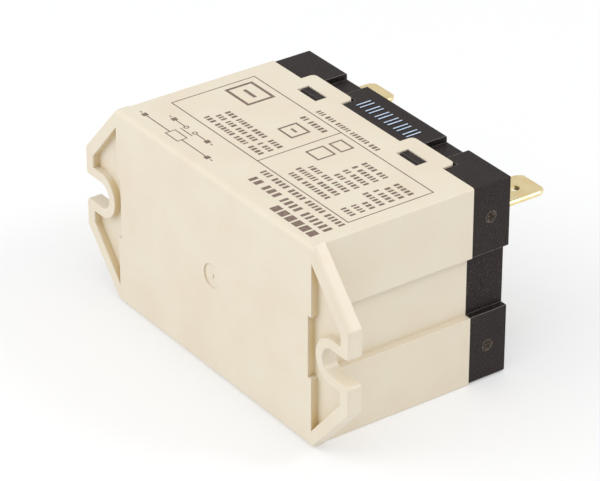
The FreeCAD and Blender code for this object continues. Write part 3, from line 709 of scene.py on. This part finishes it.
def print_mesh(name, marks, face_z, material, body, circles=()):
    """Thin ink solids on a face that looks along +Z.

    marks are rectangles (x0, x1, y0, y1) and circles are rings (x, y, radius, line), in millimetres.
    """
    bm = bmesh.new()
    low_z = face_z - INK_SUNK_MM * MM
    high_z = face_z + INK_MM * MM
    for x0, x1, y0, y1 in marks:
        low = (min(x0, x1) * MM, min(y0, y1) * MM, low_z)
        high = (max(x0, x1) * MM, max(y0, y1) * MM, high_z)
        add_block(bm, low, high)
    for x, y, radius, line in circles:
        add_ink_ring(bm, x, y, radius, line, low_z, high_z)
    piece(name, mesh_from(bm, name), material, body)


def frame_lines(x0, x1, y0, y1, line):
    """Outline of a rectangle."""
    half = line / 2
    return [
        (x0 - half, x1 + half, y0 - half, y0 + half),
        (x0 - half, x1 + half, y1 - half, y1 + half),
        (x0 - half, x0 + half, y0 + half, y1 - half),
        (x1 - half, x1 + half, y0 + half, y1 - half),
    ]


def block_row(draw, start, end, y, height):
    """Row of small plain blocks with gaps, from start to end along X, in the place of writing."""
    marks = []
    x = start
    step = 1 if end > start else -1
    run = 0
    while (end - x) * step > 0.4:
        width = min(draw.uniform(0.35, 0.6) * height, (end - x) * step)
        marks.append((x, x + step * width, y - height / 2, y + height / 2))
        x += step * (width + 0.32 * height)
        run += 1
        if run >= draw.randint(3, 8):
            x += step * 0.45 * height
            run = 0
    return marks


def writing_rows():
    """Rows of blocks in the place of writing, in millimetres: (start, end, y, height of the blocks)."""
    small = 0.95
    rows = [(23.0, 3.5, 4.6, 1.5), (23.0, 3.2, 7.0, 1.1)]
    for row in range(7):
        y = 10.0 + 1.72 * row
        rows.append((21.5, 18.5 if row < 3 else 16.9, y, small))
        rows.append((15.4, 5.3 if row < 3 else 9.4, y, small))
    for row in range(3):
        y = 9.9 + 1.7 * row
        rows.append((-1.0, -4.0, y, small))
        rows.append((-5.0, -15.5, y, small))
    rows.append((7.9, -7.4, 24.5, 0.9))
    rows.append((-1.2, -7.7, 21.5, 1.0))
    return rows


def case_print(material):
    """Data block on the long side: a frame of plain block rows, generic outlines and a wiring sketch."""
    draw = random.Random(SEED)
    half = PRINT_LINE / 2
    marks = list(DASHES)
    marks.append((TABLE_DIVIDER_X - half, TABLE_DIVIDER_X + half, *FRAMES[0][2:4]))
    start, step, width, y0, y1 = BOLD_ROW
    marks += [(start - step * i, start - step * i - width, y0, y1) for i in range(BOLD_COUNT)]
    for row in writing_rows():
        marks += block_row(draw, *row)
    for frame_mark in FRAMES:
        marks += frame_lines(*frame_mark)
    marks += wiring_sketch()
    rings = [(x, y, SKETCH_RING_RADIUS, PRINT_LINE) for x, y in SKETCH_RINGS]
    face_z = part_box("case")[1].z
    print_mesh("case_print", marks, face_z, material, "case_shell", rings)


def wiring_sketch():
    """Coil between two tabs, and an open contact between two more."""
    half = PRINT_LINE / 2
    tab = SKETCH_TAB_HALF
    marks = []
    for x, y, tick in SKETCH_TABS:
        marks.append((x - tab, x + tab, y - tab, y + tab))
        marks.append((x + tick * 0.75, x + tick * 1.35, y - half, y + half))
    marks += frame_lines(*SKETCH_COIL, PRINT_LINE)
    coil_right, coil_left, contact_right, contact_left = [x for x, y, tick in SKETCH_TABS]
    coil_y, contact_y = SKETCH_TABS[0][1], SKETCH_TABS[2][1]
    low_x, high_x = SKETCH_COIL[:2]
    bridge_left, bridge_right, bridge_y = SKETCH_BRIDGE
    right_ring, left_ring = [x for x, y in SKETCH_RINGS]
    marks.append((coil_right - tab, high_x, coil_y - half, coil_y + half))
    marks.append((low_x, coil_left + tab, coil_y - half, coil_y + half))
    marks.append((contact_right - tab, right_ring + SKETCH_RING_RADIUS, contact_y - half, contact_y + half))
    marks.append((left_ring - SKETCH_RING_RADIUS, contact_left + tab, contact_y - half, contact_y + half))
    marks.append((bridge_left, bridge_right, bridge_y - half, bridge_y + half))
    return marks


def base_print(material):
    """Pairs of plain bars on the middle block of the base, in the place of a date code."""
    marks = []
    for i in range(BAR_PAIRS):
        for side in (-BAR_HALF_GAP, BAR_HALF_GAP):
            x = BAR_START_X - i * BAR_STEP + side
            marks.append((x - BAR_HALF_LINE, x + BAR_HALF_LINE, BAR_LOW_Y, BAR_HIGH_Y))
    face_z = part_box("base")[1].z
    print_mesh("base_print", marks, face_z, material, "base_frame")


# ---------------------------------------------------------------- dressing the CAD parts

def dress_cad(finishes):
    """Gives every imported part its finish."""
    wear = {
        "case": "cream_case",
        "base": "charcoal_base",
        "contact_barrier": "charcoal_base",
        "plunger": "ivory_moulding",
        "bobbin": "bobbin_plastic",
        "fixed_contacts": "contact_silver",
        "movable_contacts": "contact_silver",
        "contact_bridge": "copper_strip",
        "plunger_clip": "spring_steel",
        "contact_spring": "spring_steel",
        "return_spring": "spring_steel",
        "hinge_spring": "spring_steel",
        "core": "plated_iron",
        "yoke": "plated_iron",
        "armature": "plated_iron",
        "hinge_spring_rivets": "plated_iron",
        "coil_winding": "enamelled_copper",
        "coil_tape": "coil_tape",
        "bobbin_pins": "tinned_wire",
        "lead_left": "tinned_wire",
        "lead_right": "wire_insulation",
        "rectifier_board": "board_laminate",
        "rectifier_diodes": "diode_body",
    }
    for name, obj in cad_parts.items():
        finish = finishes[wear.get(name, "brass_strip")]
        if not obj.material_slots:
            obj.data.materials.append(finish)
        for spot in obj.material_slots:
            spot.material = finish


# ---------------------------------------------------------------- stage

def towards(azimuth, elevation):
    """Direction away from the object's middle; azimuth 0 is straight in front of the mounting face."""
    a, e = math.radians(azimuth), math.radians(elevation)
    return Vector((math.sin(a) * math.cos(e), -math.cos(a) * math.cos(e), math.sin(e)))


def softbox(name, azimuth, elevation, distance, size, glow):
    """Square soft light aimed at the object; glow is its brightness, where 1 is white on the picture."""
    data = bpy.data.lights.new(name, "AREA")
    data.shape = "SQUARE"
    data.size = size
    data.energy = math.pi * size * size * glow
    lamp = bpy.data.objects.new(name, data)
    bpy.context.scene.collection.objects.link(lamp)
    away = towards(azimuth, elevation)
    lamp.location = (CAD_LOW + CAD_HIGH) / 2 + away * distance
    lamp.rotation_euler = away.to_track_quat("Z", "Y").to_euler()


def lights():
    """Even white surroundings, with a few soft lights that shape the faces and draw the edges."""
    softbox("front_left", -30, 20, 0.9, 0.5, 2.35)
    softbox("front_high", 0, 55, 0.45, 0.25, 0.95)
    softbox("right_high", 110, 45, 0.9, 0.5, 0.5)
    softbox("right_back", 132, 42, 0.9, 0.2, 10.0)
    softbox("overhead", 70, 72, 0.9, 0.5, 1.6)
    softbox("back_low", 160, 20, 0.9, 0.5, 0.35)
    softbox("edge_glint", -56, 31, 0.9, 0.15, 4.0)
    world = bpy.data.worlds.new("studio")
    bpy.context.scene.world = world
    world.use_nodes = True
    background = world.node_tree.nodes["Background"]
    background.inputs["Color"].default_value = (1, 1, 1, 1)
    background.inputs["Strength"].default_value = 0.74


def floor():
    half = 3.0
    bm = bmesh.new()
    corners = [(-half, -half), (half, -half), (half, half), (-half, half)]
    bm.faces.new([bm.verts.new((x, y, CAD_LOW.z)) for x, y in corners])
    obj = bpy.data.objects.new("floor", mesh_from(bm, "floor"))
    obj.data.materials.append(floor_paper())
    bpy.context.scene.collection.objects.link(obj)


def camera():
    data = bpy.data.cameras.new("camera")
    data.lens = LENS_MM
    data.sensor_width = SENSOR_MM
    data.clip_start = 0.01
    data.clip_end = 20.0
    obj = bpy.data.objects.new("camera", data)
    bpy.context.scene.collection.objects.link(obj)
    back = towards(VIEW_AZIMUTH, VIEW_ELEVATION)
    obj.location = (CAD_LOW + CAD_HIGH) / 2 + AIM_OFFSET + back * VIEW_DISTANCE
    obj.rotation_euler = back.to_track_quat("Z", "Y").to_euler()
    bpy.context.scene.camera = obj


def main():
    makers = [cream_case, charcoal_base, ivory_moulding, bobbin_plastic, brass_strip, contact_silver,
              copper_strip, spring_steel, plated_iron, tinned_wire, enamelled_copper, coil_tape,
              board_laminate, diode_body, wire_insulation]
    finishes = {make.__name__: make() for make in makers}
    dress_cad(finishes)
    springs(finishes["spring_steel"])
    coil_turns(finishes["enamelled_copper"])
    coil_wrap(finishes["coil_tape"])
    coil_wire_ends(finishes["enamelled_copper"])
    solder_joints(solder())
    board_tracks(track_copper())
    gate_scars(torn_plastic())
    case_print(print_ink("case_ink", srgb(112, 92, 82), srgb(142, 122, 108)))
    base_print(print_ink("base_ink", srgb(196, 214, 236), srgb(160, 180, 205)))
    floor()
    lights()
    camera()
    bpy.context.scene.view_settings.view_transform = "Standard"


main()
